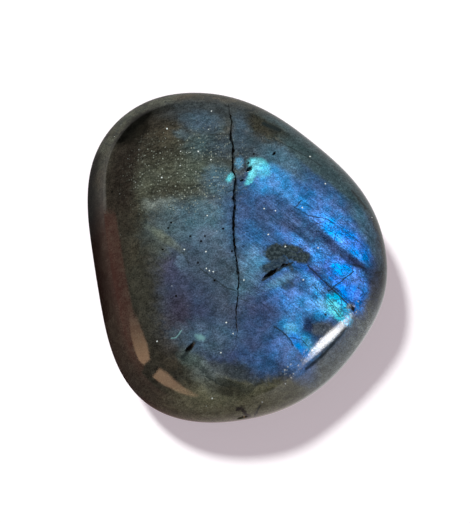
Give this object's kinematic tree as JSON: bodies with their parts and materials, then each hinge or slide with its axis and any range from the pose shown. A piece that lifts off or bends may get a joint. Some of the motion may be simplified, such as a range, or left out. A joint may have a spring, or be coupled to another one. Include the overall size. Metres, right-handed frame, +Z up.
{
  "type": "polished labradorite palm stone",
  "caption": "Free-form polished labradorite pebble with a broad flashing top, a bevelled shoulder, an old fissure and a flat underside to lie on.",
  "frame": {"origin": "on the lapped flat underneath, below the middle of the stone's box", "axes": "+Z up, out of the broad top; +Y along the stone's length, away from the viewer of the picture; +X towards the side with the bevel"},
  "size_m": [0.0555, 0.0624, 0.021],
  "materials": {
    "labradorite": "polished, with a blue labradorescent flash"
  },
  "bodies": {
    "root": {"stone": "labradorite"}
  },
  "joints": []
}
